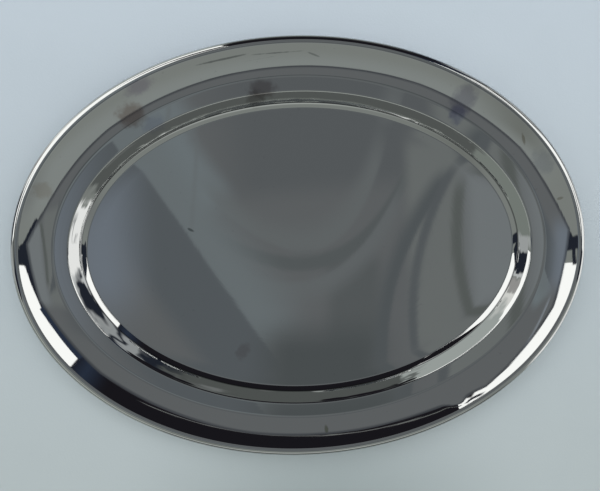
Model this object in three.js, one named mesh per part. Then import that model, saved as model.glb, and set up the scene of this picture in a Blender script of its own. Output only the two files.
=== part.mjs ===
// An oval stainless steel serving tray: one pressed sheet with a stepped well, a flange
// and an upturned rim, whose edge is curled over a wire ring. Millimetres, +Z up.
// The tray stands on z = 0 with its centre on the Z axis and its length along X.
import * as THREE from "three";

// Outline of the finished tray, over the curled bead.
const TRAY_LENGTH = 300;
const TRAY_WIDTH = 220;
const SHEET_THICKNESS = 0.6;

// Cross-section of the pressing's upper face, from the end of the curl inwards. The bead
// is a flattish crown that runs into a tight curl round the wire.
// Every size is measured square to the outline, and every slope is from level.
const CURL_RADIUS = 1.8;
const CURL_END_SLOPE = degrees(-262);
const BEAD_CROWN_RADIUS = 3.6;
const BEAD_CROWN_END_SLOPE = degrees(-35);
const RIM_BAND_TOP_SLOPE = degrees(26.7);
const RIM_BAND_FOOT_SLOPE = degrees(19.5);
const RIM_BAND_RADIUS = 120;
const RIM_CREASE_RADIUS = 6;
const FLANGE_SLOPE = degrees(3);
const FLANGE_LENGTH = 6.1;
const SHOULDER_RADIUS = 1.4;
const UPPER_WALL_SLOPE = degrees(48);
const UPPER_WALL_LENGTH = 6.7;
const WALL_CREASE_RADIUS = 1.2;
const LOWER_WALL_SLOPE = degrees(30);
const LOWER_WALL_LENGTH = 2.3;
const BASE_EDGE_RADIUS = 1.6;

// The wire inside the curl, and the open butt joint between its ends.
const WIRE_DIAMETER = 1.8;
const WIRE_JOINT_GAP = 0.8;
const WIRE_JOINT_ANGLE = degrees(-58);

// Fineness of the facets.
const OUTLINE_SEGMENTS = 72;
const CURL_STEPS = 9;
const WIRE_STEPS = 96;
const WIRE_SIDES = 8;

const STEEL = { color: 0x9a9c9d, roughness: 0.07, metalness: 1 };
const WIRE_STEEL = { color: 0x8b8c8c, roughness: 0.4, metalness: 1 };

function degrees(angle) {
  return THREE.MathUtils.degToRad(angle);
}

// A cross-section drawn like a pen stroke: it starts level, goes straight or round a
// bend, and keeps the direction that it has reached.
class Stroke {
  constructor(x, z) {
    this.at = new THREE.Vector2(x, z);
    this.slope = 0;
    this.points = [];
    this.mark();
  }

  mark() {
    const normal = new THREE.Vector2(-Math.sin(this.slope), Math.cos(this.slope));
    this.points.push({ at: this.at.clone(), normal });
  }

  straight(length) {
    const step = new THREE.Vector2(Math.cos(this.slope), Math.sin(this.slope));
    this.at.addScaledVector(step, length);
    this.mark();
  }

  // Bends up for a larger new slope and down for a smaller one.
  bend(radius, newSlope, steps) {
    const turn = (newSlope - this.slope) / steps;
    const chord = 2 * radius * Math.sin(Math.abs(turn) / 2);
    for (let step = 0; step < steps; step++) {
      const heading = this.slope + turn / 2;
      this.at.x += chord * Math.cos(heading);
      this.at.y += chord * Math.sin(heading);
      this.slope += turn;
      this.mark();
    }
  }
}

// The upper face of the sheet from the edge of the flat base to the end of the curl.
// Its x runs outwards from the base edge and its z is the height over the table.
function upperFace() {
  const stroke = new Stroke(0, SHEET_THICKNESS);
  stroke.bend(BASE_EDGE_RADIUS, LOWER_WALL_SLOPE, 2);
  stroke.straight(LOWER_WALL_LENGTH);
  stroke.bend(WALL_CREASE_RADIUS, UPPER_WALL_SLOPE, 2);
  stroke.straight(UPPER_WALL_LENGTH);
  stroke.bend(SHOULDER_RADIUS, FLANGE_SLOPE, 4);
  stroke.straight(FLANGE_LENGTH);
  stroke.bend(RIM_CREASE_RADIUS, RIM_BAND_FOOT_SLOPE, 3);
  stroke.bend(RIM_BAND_RADIUS, RIM_BAND_TOP_SLOPE, 4);
  stroke.bend(BEAD_CROWN_RADIUS, BEAD_CROWN_END_SLOPE, 4);
  stroke.bend(CURL_RADIUS, CURL_END_SLOPE, CURL_STEPS);
  return stroke.points;
}

// The centre of the curl, from the point and normal where the crown runs into it.
function curlCentre(face) {
  const curlStart = face[face.length - 1 - CURL_STEPS];
  return curlStart.at.clone().addScaledVector(curlStart.normal, -CURL_RADIUS);
}

const FACE = upperFace();
const CURL_CENTRE = curlCentre(FACE);
const SECTION_WIDTH = CURL_CENTRE.x + CURL_RADIUS;

// A point on the oval that lies a distance inside the tray's outline, measured square
// to the outline. The turn runs round the tray, from 0 to a full turn.
function ovalPoint(inset, turn) {
  const halfLength = TRAY_LENGTH / 2;
  const halfWidth = TRAY_WIDTH / 2;
  const normal = new THREE.Vector2(Math.cos(turn) / halfLength, Math.sin(turn) / halfWidth);
  const outline = new THREE.Vector2(halfLength * Math.cos(turn), halfWidth * Math.sin(turn));
  return outline.addScaledVector(normal.normalize(), -inset);
}

// Turns a round lathe body into an oval one. The lathe's radius is the distance out
// from the middle, of which the last SECTION_WIDTH keeps its width all round.
function makeOval(geometry, baseRadius) {
  const position = geometry.getAttribute("position");
  for (let index = 0; index < position.count; index++) {
    const x = position.getX(index);
    const y = position.getY(index);
    const radius = Math.hypot(x, y);
    const outside = Math.max(radius - baseRadius, 0);
    const share = Math.min(radius / baseRadius, 1);
    const point = ovalPoint(SECTION_WIDTH - outside, Math.atan2(y, x));
    position.setXY(index, share * point.x, share * point.y);
  }
}

function trayPressing() {
  const baseRadius = TRAY_WIDTH / 2 - SECTION_WIDTH;
  const offset = new THREE.Vector2(baseRadius, 0);
  const top = FACE.map(({ at }) => at.clone().add(offset));
  const underside = FACE.map(({ at, normal }) =>
    at.clone().addScaledVector(normal, -SHEET_THICKNESS).add(offset),
  );
  const profile = [
    new THREE.Vector2(0, 0),
    ...underside,
    ...top.reverse(),
    new THREE.Vector2(0, SHEET_THICKNESS),
  ];
  const geometry = new THREE.LatheGeometry(profile, OUTLINE_SEGMENTS);
  geometry.rotateX(Math.PI / 2);
  makeOval(geometry, baseRadius);
  const mesh = new THREE.Mesh(geometry, new THREE.MeshStandardMaterial(STEEL));
  mesh.name = "tray_pressing";
  return mesh;
}

// The centre line of the wire: the oval through the middle of the curl, open at the
// butt joint.
class WireLine extends THREE.Curve {
  getPoint(share, target = new THREE.Vector3()) {
    const jointTurn = WIRE_JOINT_GAP / (TRAY_WIDTH / 2);
    const turn = WIRE_JOINT_ANGLE + jointTurn / 2 + share * (2 * Math.PI - jointTurn);
    const point = ovalPoint(CURL_RADIUS, turn);
    return target.set(point.x, point.y, CURL_CENTRE.y);
  }
}

function wireSection() {
  const section = new THREE.Shape();
  for (let side = 0; side < WIRE_SIDES; side++) {
    const angle = (2 * Math.PI * side) / WIRE_SIDES;
    const x = (WIRE_DIAMETER / 2) * Math.cos(angle);
    const y = (WIRE_DIAMETER / 2) * Math.sin(angle);
    if (side === 0) {
      section.moveTo(x, y);
    } else {
      section.lineTo(x, y);
    }
  }
  section.closePath();
  return section;
}

function rimWire() {
  const geometry = new THREE.ExtrudeGeometry(wireSection(), {
    steps: WIRE_STEPS,
    extrudePath: new WireLine(),
  });
  const mesh = new THREE.Mesh(geometry, new THREE.MeshStandardMaterial(WIRE_STEEL));
  mesh.name = "rim_wire";
  return mesh;
}

const tray = new THREE.Group();
tray.add(trayPressing(), rimWire());

export default tray;
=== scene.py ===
"""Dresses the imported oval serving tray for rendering.

The tray is one pressed sheet of mirror-polished steel whose edge is curled over a drawn
wire ring. This script gives the sheet its fine section, its slight waviness and its
wear, lays the wire in the curl, and sets the tray on a pale table in a soft studio.
Everything is in metres, with +Z up and the tray's length along X.
"""

import logging
import math
from dataclasses import dataclass, field
from enum import Enum
from typing import Any, ClassVar, Sequence

import bpy
import numpy as np
from mathutils import Matrix, Vector, noise


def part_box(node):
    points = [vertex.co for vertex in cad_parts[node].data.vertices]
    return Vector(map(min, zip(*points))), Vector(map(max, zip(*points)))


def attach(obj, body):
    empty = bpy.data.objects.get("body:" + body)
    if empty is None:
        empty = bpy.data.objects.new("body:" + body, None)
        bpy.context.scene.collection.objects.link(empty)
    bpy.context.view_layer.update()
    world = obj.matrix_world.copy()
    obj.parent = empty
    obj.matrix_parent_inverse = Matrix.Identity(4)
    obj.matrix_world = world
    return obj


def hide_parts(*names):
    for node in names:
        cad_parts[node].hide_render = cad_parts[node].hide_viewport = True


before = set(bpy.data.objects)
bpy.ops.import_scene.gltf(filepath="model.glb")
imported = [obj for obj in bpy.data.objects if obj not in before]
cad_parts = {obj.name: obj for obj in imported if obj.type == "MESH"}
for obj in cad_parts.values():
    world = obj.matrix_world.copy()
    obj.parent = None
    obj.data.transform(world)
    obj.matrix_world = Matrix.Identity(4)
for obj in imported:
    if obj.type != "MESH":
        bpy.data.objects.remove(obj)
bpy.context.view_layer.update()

LOG = logging.getLogger("serving_tray")
MM = 0.001
SHARP_ANGLE = math.radians(40)
BODY = "root"
GRAIN = "grain"
RUN = "run"

Colour = tuple[float, float, float]
Socket = Any
Surface = tuple[Socket, Any, Socket]


class Node(Enum):
    """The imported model's nodes that this script stands in for."""

    PRESSING = "tray_pressing"
    WIRE = "rim_wire"


class Slot(Enum):
    """The record's material slots."""

    SHEET = "polished_sheet"
    WIRE = "drawn_wire"


class Side(Enum):
    """The two faces of the sheet, numbered as its material slots are."""

    UPPER = 0
    UNDER = 1


# ---------------------------------------------------------------------------
# Shader building
# ---------------------------------------------------------------------------


class Wiring:
    """Adds nodes to one shader tree and joins them."""

    def __init__(self, tree: bpy.types.NodeTree) -> None:
        """Start on an existing tree.

        Args:
            tree: The node tree that the nodes go into.
        """
        self.tree = tree

    def add(self, kind: str, **settings: Any) -> bpy.types.Node:
        """Add a node and set its properties.

        Args:
            kind: The node's class name in Blender.
            **settings: Properties of the node and the values they get.

        Returns:
            The new node.
        """
        node = self.tree.nodes.new(kind)
        for name, value in settings.items():
            setattr(node, name, value)
        return node

    def feed(self, target: Socket, source: Any) -> None:
        """Give an input its value, or join it to another node's output.

        Args:
            target: The input socket.
            source: An output socket, or a plain value.
        """
        if isinstance(source, bpy.types.NodeSocket):
            self.tree.links.new(source, target)
        else:
            target.default_value = source

    def math(self, operation: str, *inputs: Any) -> Socket:
        """Do one sum on numbers.

        Args:
            operation: The Math node's operation.
            *inputs: Its inputs, as values or sockets.

        Returns:
            The result's socket.
        """
        node = self.add("ShaderNodeMath", operation=operation)
        for target, source in zip(node.inputs, inputs):
            self.feed(target, source)
        return node.outputs[0]

    def vector(self, operation: str, *inputs: Any) -> bpy.types.Node:
        """Do one sum on vectors.

        Args:
            operation: The Vector Math node's operation.
            *inputs: Its inputs, as values or sockets.

        Returns:
            The node, which has a Vector and a Value output.
        """
        node = self.add("ShaderNodeVectorMath", operation=operation)
        for target, source in zip(node.inputs, inputs):
            self.feed(target, source)
        return node

    def smooth(self, value: Any, start: Any, end: Any, low: float = 0.0, high: float = 1.0) -> Socket:
        """Turn a number into a soft step.

        Args:
            value: The number.
            start: Where the step leaves its first level.
            end: Where it reaches its second level.
            low: The first level.
            high: The second level.

        Returns:
            The step's socket.
        """
        node = self.add("ShaderNodeMapRange", interpolation_type="SMOOTHSTEP")
        for name, source in (("Value", value), ("From Min", start), ("From Max", end)):
            self.feed(node.inputs[name], source)
        node.inputs["To Min"].default_value = low
        node.inputs["To Max"].default_value = high
        return node.outputs["Result"]

    def blend(self, share: Any, first: Any, second: Any, mode: str = "MIX") -> Socket:
        """Mix two colours.

        Args:
            share: How much of the second colour shows, from 0 to 1.
            first: The colour underneath.
            second: The colour on top.
            mode: The Mix node's blend type.

        Returns:
            The mixed colour's socket.
        """
        node = self.add("ShaderNodeMix", data_type="RGBA", blend_type=mode)
        self.feed(node.inputs["Factor"], share)
        self.feed(node.inputs[6], rgba(first))
        self.feed(node.inputs[7], rgba(second))
        return node.outputs[2]

    def noise(self, vector: Any, scale: Any, detail: float = 2.0, roughness: float = 0.5) -> Socket:
        """Add a cloud pattern.

        Args:
            vector: Where the pattern is read.
            scale: Features per unit of length.
            detail: Octaves of finer pattern.
            roughness: How strong the finer octaves are.

        Returns:
            The pattern's socket, around 0.5.
        """
        node = self.add("ShaderNodeTexNoise", noise_dimensions="3D")
        self.feed(node.inputs["Vector"], vector)
        self.feed(node.inputs["Scale"], scale)
        node.inputs["Detail"].default_value = detail
        node.inputs["Roughness"].default_value = roughness
        return node.outputs["Fac"]

    def split(self, vector: Any) -> Any:
        """Split a vector into its parts.

        Args:
            vector: The vector.

        Returns:
            The outputs, which are found by X, Y or Z.
        """
        node = self.add("ShaderNodeSeparateXYZ")
        self.feed(node.inputs[0], vector)
        return node.outputs

    def relief(self, height: Socket, depth: float, strength: float = 1.0, under: Any = None) -> Socket:
        """Turn a height pattern into a normal.

        Args:
            height: The pattern, from 0 to 1.
            depth: How deep it is, in metres.
            strength: How strongly it shows.
            under: The normal that it lies on, or None for the surface's own.

        Returns:
            The normal's socket.
        """
        node = self.add("ShaderNodeBump")
        node.inputs["Strength"].default_value = strength
        node.inputs["Distance"].default_value = depth
        self.feed(node.inputs["Height"], height)
        if under is not None:
            self.feed(node.inputs["Normal"], under)
        return node.outputs[0]

    def place(self, group: bpy.types.NodeTree, **inputs: Any) -> Socket:
        """Place a node group and fill its inputs.

        Args:
            group: The node group.
            **inputs: Its inputs by name, with underscores for spaces.

        Returns:
            The group's first output.
        """
        node = self.add("ShaderNodeGroup", node_tree=group)
        for name, source in inputs.items():
            self.feed(node.inputs[name.replace("_", " ")], source)
        return node.outputs[0]


def rgba(colour: Any) -> Any:
    """Give a plain colour its fourth number, and pass a socket through."""
    if isinstance(colour, bpy.types.NodeSocket) or len(colour) == 4:
        return colour
    return (*colour, 1.0)


class GroupMaker:
    """Builds one shader node group with named inputs and outputs."""

    KINDS = {float: "NodeSocketFloat", tuple: "NodeSocketVector"}

    def __init__(self, name: str, inputs: dict[str, Any], outputs: Sequence[str]) -> None:
        """Make the empty group and its sockets.

        Args:
            name: The group's name.
            inputs: Each input's name and its default, a number or a vector.
            outputs: The names of the outputs, all of them numbers.
        """
        self.tree = bpy.data.node_groups.new(name, "ShaderNodeTree")
        for label, default in inputs.items():
            kind = self.KINDS[type(default)]
            socket = self.tree.interface.new_socket(label, in_out="INPUT", socket_type=kind)
            socket.default_value = default
        for label in outputs:
            self.tree.interface.new_socket(label, in_out="OUTPUT", socket_type="NodeSocketFloat")
        self.wiring = Wiring(self.tree)
        self.inputs = self.wiring.add("NodeGroupInput").outputs
        self.outputs = self.wiring.add("NodeGroupOutput").inputs


class Effects:
    """The surface effects and light masks that several materials share."""

    def __init__(self) -> None:
        """Build every group once."""
        self.lines = self._lines()
        self.smudges = self._smudges()
        self.scratches = self._scratches()
        self.stain = self._stain()
        self.panel = self._panel()
        self.bar = self._bar()

    @staticmethod
    def _lines() -> bpy.types.NodeTree:
        """Build the long fine lines that polishing and wire drawing leave."""
        maker = GroupMaker(
            "Working lines",
            {"Grain": (0.0, 0.0, 0.0), "Stretch": (1.0, 1.0, 1.0), "Contrast": 0.2},
            ["Mask"],
        )
        wires = maker.wiring
        middle = 0.5
        place = wires.vector("MULTIPLY", maker.inputs["Grain"], maker.inputs["Stretch"]).outputs[0]
        fine = wires.noise(place, 1.0, detail=4.0, roughness=0.65)
        low = wires.math("SUBTRACT", middle, maker.inputs["Contrast"])
        high = wires.math("ADD", middle, maker.inputs["Contrast"])
        wires.feed(maker.outputs["Mask"], wires.smooth(fine, low, high))
        return maker.tree

    @staticmethod
    def _smudges() -> bpy.types.NodeTree:
        """Build the dull film and wiping marks that handling leaves."""
        maker = GroupMaker(
            "Smudges",
            {"Position": (0.0, 0.0, 0.0), "Size": 0.03, "Cover": 0.5},
            ["Mask"],
        )
        finer_by, finer_share = 5.3, 0.28
        bare_start, cover_effect, softness = 0.82, 0.6, 0.22
        wires = maker.wiring
        scale = wires.math("DIVIDE", 1.0, maker.inputs["Size"])
        finer_scale = wires.math("MULTIPLY", scale, finer_by)
        broad = wires.noise(maker.inputs["Position"], scale, detail=3.0, roughness=0.55)
        finer = wires.noise(maker.inputs["Position"], finer_scale, detail=4.0)
        broad_part = wires.math("MULTIPLY", broad, 1.0 - finer_share)
        mixed = wires.math("ADD", broad_part, wires.math("MULTIPLY", finer, finer_share))
        lowered = wires.math("MULTIPLY", maker.inputs["Cover"], cover_effect)
        start = wires.math("SUBTRACT", bare_start, lowered)
        end = wires.math("ADD", start, softness)
        wires.feed(maker.outputs["Mask"], wires.smooth(mixed, start, end))
        return maker.tree

    @staticmethod
    def _scratches() -> bpy.types.NodeTree:
        """Build sparse hairline scratches that run in two directions."""
        maker = GroupMaker(
            "Hairline scratches",
            {"Position": (0.0, 0.0, 0.0), "Spacing": 0.006, "Amount": 0.4},
            ["Mask"],
        )
        directions = (0.6, 2.2)
        wander_scale, wander_reach = 30.0, 0.012
        stretch = (1.0, 0.06, 1.0)
        hair_width = 0.012
        gate_scale, gate_start, gate_effect, gate_softness = 60.0, 0.75, 0.5, 0.08
        wires = maker.wiring
        layers = []
        for turn in directions:
            turned = wires.add("ShaderNodeVectorRotate", rotation_type="Z_AXIS")
            wires.feed(turned.inputs["Vector"], maker.inputs["Position"])
            turned.inputs["Angle"].default_value = turn
            warp = wires.noise(turned.outputs[0], wander_scale, detail=1.0)
            offset = wires.add("ShaderNodeCombineXYZ")
            wires.feed(offset.inputs["X"], wires.math("MULTIPLY", warp, wander_reach))
            shifted = wires.vector("ADD", turned.outputs[0], offset.outputs[0]).outputs[0]
            squeezed = wires.vector("MULTIPLY", shifted, stretch).outputs[0]
            cells = wires.add("ShaderNodeTexVoronoi", feature="DISTANCE_TO_EDGE")
            wires.feed(cells.inputs["Vector"], squeezed)
            wires.feed(cells.inputs["Scale"], wires.math("DIVIDE", 1.0, maker.inputs["Spacing"]))
            line = wires.smooth(cells.outputs["Distance"], 0.0, hair_width, 1.0, 0.0)
            gate = wires.noise(turned.outputs[0], gate_scale, detail=2.0)
            lowered = wires.math("MULTIPLY", maker.inputs["Amount"], gate_effect)
            start = wires.math("SUBTRACT", gate_start, lowered)
            opened = wires.smooth(gate, start, wires.math("ADD", start, gate_softness))
            layers.append(wires.math("MULTIPLY", line, opened))
        wires.feed(maker.outputs["Mask"], wires.math("MAXIMUM", *layers))
        return maker.tree

    @staticmethod
    def _stain() -> bpy.types.NodeTree:
        """Build one long blotch with a ragged edge, at a place on the tray."""
        maker = GroupMaker(
            "Stain",
            {
                "Position": (0.0, 0.0, 0.0),
                "Grain": (0.0, 0.0, 0.0),
                "Centre": (0.0, 0.0, 0.0),
                "Along": (1.0, 0.0, 0.0),
                "Half width": 0.004,
                "Half length": 0.008,
            },
            ["Mask"],
        )
        features = (80.0, 300.0, 300.0)
        raggedness = 0.9
        solid, gone = 0.45, 1.10
        wires = maker.wiring
        sockets = maker.inputs
        offset = wires.vector("SUBTRACT", sockets["Position"], sockets["Centre"]).outputs[0]
        lengthways = wires.vector("DOT_PRODUCT", offset, sockets["Along"]).outputs["Value"]
        turned = wires.vector("CROSS_PRODUCT", sockets["Along"], offset).outputs[0]
        sideways = wires.vector("LENGTH", turned).outputs["Value"]
        long_share = wires.math("DIVIDE", lengthways, sockets["Half length"])
        wide_share = wires.math("DIVIDE", sideways, sockets["Half width"])
        long_square = wires.math("POWER", long_share, 2.0)
        squares = wires.math("ADD", long_square, wires.math("POWER", wide_share, 2.0))
        streaky = wires.vector("MULTIPLY", sockets["Grain"], features).outputs[0]
        ragged = wires.noise(streaky, 1.0, detail=3.0)
        wobble = wires.math("MULTIPLY", wires.math("SUBTRACT", ragged, 0.5), raggedness)
        share = wires.math("ADD", wires.math("SQRT", squares), wobble)
        wires.feed(maker.outputs["Mask"], wires.smooth(share, solid, gone, 1.0, 0.0))
        return maker.tree

    @staticmethod
    def _panel() -> bpy.types.NodeTree:
        """Build the mask of an upright panel of the surroundings, by direction."""
        maker = GroupMaker(
            "Surrounding panel",
            {
                "Direction": (0.0, 0.0, 1.0),
                "Heading": (1.0, 0.0, 0.0),
                "Half width": 0.3,
                "Side softness": 0.02,
                "Top": 0.5,
                "Top softness": 0.02,
                "Bottom": 1.2,
                "Bottom softness": 0.1,
            },
            ["Mask"],
        )
        wires = maker.wiring
        sockets = maker.inputs
        flat = wires.vector("MULTIPLY", sockets["Direction"], (1.0, 1.0, 0.0)).outputs[0]
        level = wires.vector("NORMALIZE", flat).outputs[0]
        facing = wires.vector("DOT_PRODUCT", level, sockets["Heading"]).outputs["Value"]
        aside = wires.math("ARCCOSINE", facing)
        zenith = wires.math("ARCCOSINE", wires.split(sockets["Direction"])["Z"])
        masks = []
        for value, edge, soft, sign in (
            (aside, "Half width", "Side softness", 1.0),
            (zenith, "Bottom", "Bottom softness", 1.0),
            (zenith, "Top", "Top softness", -1.0),
        ):
            near = wires.math("MULTIPLY_ADD", sockets[soft], -0.5 * sign, sockets[edge])
            far = wires.math("MULTIPLY_ADD", sockets[soft], 0.5 * sign, sockets[edge])
            masks.append(wires.smooth(value, near, far, 1.0, 0.0))
        sides = wires.math("MULTIPLY", masks[0], masks[1])
        wires.feed(maker.outputs["Mask"], wires.math("MULTIPLY", sides, masks[2]))
        return maker.tree

    @staticmethod
    def _bar() -> bpy.types.NodeTree:
        """Build the mask of a soft bar on the ceiling, straight or bowed to one side."""
        maker = GroupMaker(
            "Ceiling bar",
            {
                "Spot": (0.0, 0.0, 0.0),
                "Middle": (0.0, 0.0, 0.0),
                "Along": (1.0, 0.0, 0.0),
                "Half length": 0.1,
                "Half width": 0.01,
                "Bow": 0.0,
                "Left softness": 0.02,
                "Right softness": 0.02,
                "End softness": 0.05,
            },
            ["Mask"],
        )
        wires = maker.wiring
        sockets = maker.inputs
        offset = wires.vector("SUBTRACT", sockets["Spot"], sockets["Middle"]).outputs[0]
        lengthways = wires.vector("DOT_PRODUCT", offset, sockets["Along"]).outputs["Value"]
        turned = wires.vector("CROSS_PRODUCT", sockets["Along"], offset).outputs[0]
        share = wires.math("DIVIDE", lengthways, sockets["Half length"])
        arch = wires.math("SUBTRACT", 1.0, wires.math("MULTIPLY", share, share))
        curve = wires.math("MULTIPLY", arch, sockets["Bow"])
        sideways = wires.math("SUBTRACT", wires.split(turned)["Z"], curve)
        masks = []
        for value, edge, soft in (
            (wires.math("ABSOLUTE", lengthways), "Half length", "End softness"),
            (sideways, "Half width", "Left softness"),
            (wires.math("MULTIPLY", sideways, -1.0), "Half width", "Right softness"),
        ):
            far = wires.math("ADD", sockets[edge], sockets[soft])
            masks.append(wires.smooth(value, sockets[edge], far, 1.0, 0.0))
        sides = wires.math("MULTIPLY", masks[1], masks[2])
        wires.feed(maker.outputs["Mask"], wires.math("MULTIPLY", masks[0], sides))
        return maker.tree


@dataclass(frozen=True)
class Stain:
    """A blotch on the steel.

    Attributes:
        centre: Its middle, in metres.
        heading: The direction of its long axis, in degrees anticlockwise from +X.
        half_length: How far it reaches along that axis.
        half_width: How far it reaches to the sides.
        tint: What it multiplies the steel's colour by.
    """

    centre: Colour
    heading: float
    half_length: float
    half_width: float
    tint: Colour


class Finish:
    """A finish that can be built as one material.

    Attributes:
        NAME: The material's name.
        METALLIC: How far it is metal, 0 or 1.
    """

    NAME: ClassVar[str]
    METALLIC: ClassVar[float] = 1.0

    def build(self, effects: Effects) -> bpy.types.Material:
        """Build the material.

        Args:
            effects: The shared node groups.

        Returns:
            The material.
        """
        material = bpy.data.materials.new(self.NAME)
        material.use_nodes = True
        material.node_tree.nodes.clear()
        wires = Wiring(material.node_tree)
        shader = wires.add("ShaderNodeBsdfPrincipled")
        shader.inputs["Metallic"].default_value = self.METALLIC
        output = wires.add("ShaderNodeOutputMaterial")
        wires.feed(output.inputs["Surface"], shader.outputs[0])
        position = wires.add("ShaderNodeTexCoord").outputs["Object"]
        colour, roughness, normal = self._surface(wires, effects, position)
        wires.feed(shader.inputs["Base Color"], colour)
        wires.feed(shader.inputs["Roughness"], roughness)
        wires.feed(shader.inputs["Normal"], normal)
        return material

    def _surface(self, wires: Wiring, effects: Effects, position: Socket) -> Surface:
        """Work out the finish over the surface.

        Args:
            wires: The material's wiring.
            effects: The shared node groups.
            position: The place on the piece.

        Returns:
            The colour, the roughness and the normal.
        """
        raise NotImplementedError


@dataclass(frozen=True)
class PolishedSteel(Finish):
    """The mirror finish on the sheet's upper face.

    Attributes:
        colour: The clean steel's colour.
        rim_roughness: Roughness of the flange, the rim and the bead.
        well_roughness: Roughness of the well's base, which food and washing dull.
        well_fade: Where the well's roughness starts and ends to give way to the rim's.
        film_size: Size of the smudges.
        film_cover: How much of the face the smudges cover.
        film_share: How strongly a smudge tints the steel.
        film_colour: The smudges' colour.
        film_dulling: What a smudge adds to the roughness.
        scratch_spacing: Distance between the hairline scratches.
        scratch_amount: How many of them show.
        scratch_dulling: What a hairline scratch adds to the roughness.
        speck_scale: How closely the small specks of dried water lie, per metre.
        speck_edge: The levels of their pattern between which a speck's edge lies.
        speck_share: How strongly a speck tints the steel.
        speck_colour: The specks' colour.
        line_stretch: How the fine polishing lines run, across and along the sheet.
        line_depth: Their depth, in metres.
        ring_stretch: How the broad rings from the polishing wheel run.
        ring_depth: Their depth.
        streak_stretch: How the drawn streaks on the well's upper wall run.
        streak_depth: Their depth.
        wall: Where the upper wall starts and ends, along the sheet from the base's edge.
        wall_fade: How far inside the wall's two ends the streaks fade in and out.
        crease: Where the crease between the walls lies, from the same edge.
        crease_shade_reach: How far the painted shade in the crease reaches to each side of it, fully and
            at most.
        crease_shade_share: How strongly the painted crease shade darkens the steel.
        crease_shade_colour: The painted crease shade's colour.
        stain_dulling: What a stain adds to the roughness.
        stains: The blotches on it.
    """

    NAME = "polished_steel"
    colour: Colour = (0.60, 0.61, 0.605)
    rim_roughness: float = 0.018
    well_roughness: float = 0.032
    well_fade: tuple[float, float] = (-6 * MM, 0.5 * MM)
    film_size: float = 45 * MM
    film_cover: float = 0.5
    film_share: float = 0.10
    film_colour: Colour = (0.54, 0.55, 0.56)
    film_dulling: float = 0.014
    scratch_spacing: float = 11 * MM
    scratch_amount: float = 0.2
    scratch_dulling: float = 0.06
    speck_scale: float = 420.0
    speck_edge: tuple[float, float] = (0.70, 0.76)
    speck_share: float = 0.25
    speck_colour: Colour = (0.44, 0.44, 0.45)
    line_stretch: Colour = (2200.0, 9.0, 9.0)
    line_depth: float = 0.0003 * MM
    ring_stretch: Colour = (330.0, 5.0, 5.0)
    ring_depth: float = 0.0025 * MM
    streak_stretch: Colour = (300.0, 95.0, 95.0)
    streak_depth: float = 0.13 * MM
    wall: tuple[float, float] = (3.6 * MM, 10.2 * MM)
    wall_fade: tuple[float, float] = (1.2 * MM, 1.6 * MM)
    crease: float = 3.35 * MM
    crease_shade_reach: tuple[float, float] = (0.2 * MM, 0.55 * MM)
    crease_shade_share: float = 0.8
    crease_shade_colour: Colour = (0.10, 0.105, 0.11)
    stain_dulling: float = 0.02
    stains: tuple[Stain, ...] = (
        Stain((0.0845, 0.0775, 0.0107), 61, 12 * MM, 7.0 * MM, (0.68, 0.67, 0.74)),
        Stain((0.0822, 0.0705, 0.0080), 61, 6 * MM, 5.0 * MM, (0.70, 0.72, 0.86)),
        Stain((0.1270, 0.0445, 0.0126), 35, 6 * MM, 8.0 * MM, (0.82, 0.83, 0.87)),
        Stain((-0.0205, 0.0845, 0.0080), 97, 6 * MM, 8.0 * MM, (0.64, 0.60, 0.60)),
        Stain((-0.0235, 0.0800, 0.0052), 98, 6 * MM, 5.5 * MM, (0.68, 0.66, 0.66)),
        Stain((-0.0815, 0.0850, 0.0131), 116, 4 * MM, 9.0 * MM, (0.76, 0.72, 0.80)),
        Stain((-0.0870, 0.0716, 0.0092), 121, 7 * MM, 8.5 * MM, (0.66, 0.58, 0.55)),
        Stain((-0.0764, 0.0671, 0.0077), 118, 5 * MM, 7.0 * MM, (0.84, 0.85, 0.92)),
        Stain((-0.1323, 0.0343, 0.0119), 153, 6 * MM, 5.0 * MM, (0.86, 0.82, 0.78)),
        Stain((0.0070, 0.1002, 0.0119), 158, 8 * MM, 0.6 * MM, (0.62, 0.63, 0.63)),
        Stain((-0.0130, 0.1012, 0.0126), 184, 15 * MM, 0.5 * MM, (0.52, 0.53, 0.54)),
        Stain((-0.0400, 0.0982, 0.0126), 192, 16 * MM, 0.6 * MM, (0.52, 0.53, 0.54)),
        Stain((-0.0300, 0.0970, 0.0117), 190, 17 * MM, 0.4 * MM, (0.66, 0.67, 0.68)),
        Stain((0.1160, 0.0570, 0.0118), 105, 9 * MM, 0.8 * MM, (0.66, 0.63, 0.58)),
        Stain((0.1363, 0.0252, 0.0119), 20, 3 * MM, 0.9 * MM, (0.70, 0.68, 0.64)),
        Stain((0.0100, -0.0968, 0.0104), 275, 3 * MM, 1.3 * MM, (0.58, 0.60, 0.50)),
        Stain((-0.0345, -0.0553, 0.0006), 60, 6 * MM, 4.0 * MM, (0.84, 0.80, 0.80)),
        Stain((-0.0605, 0.0120, 0.0006), 150, 2 * MM, 0.8 * MM, (0.45, 0.47, 0.47)),
    )

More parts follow.
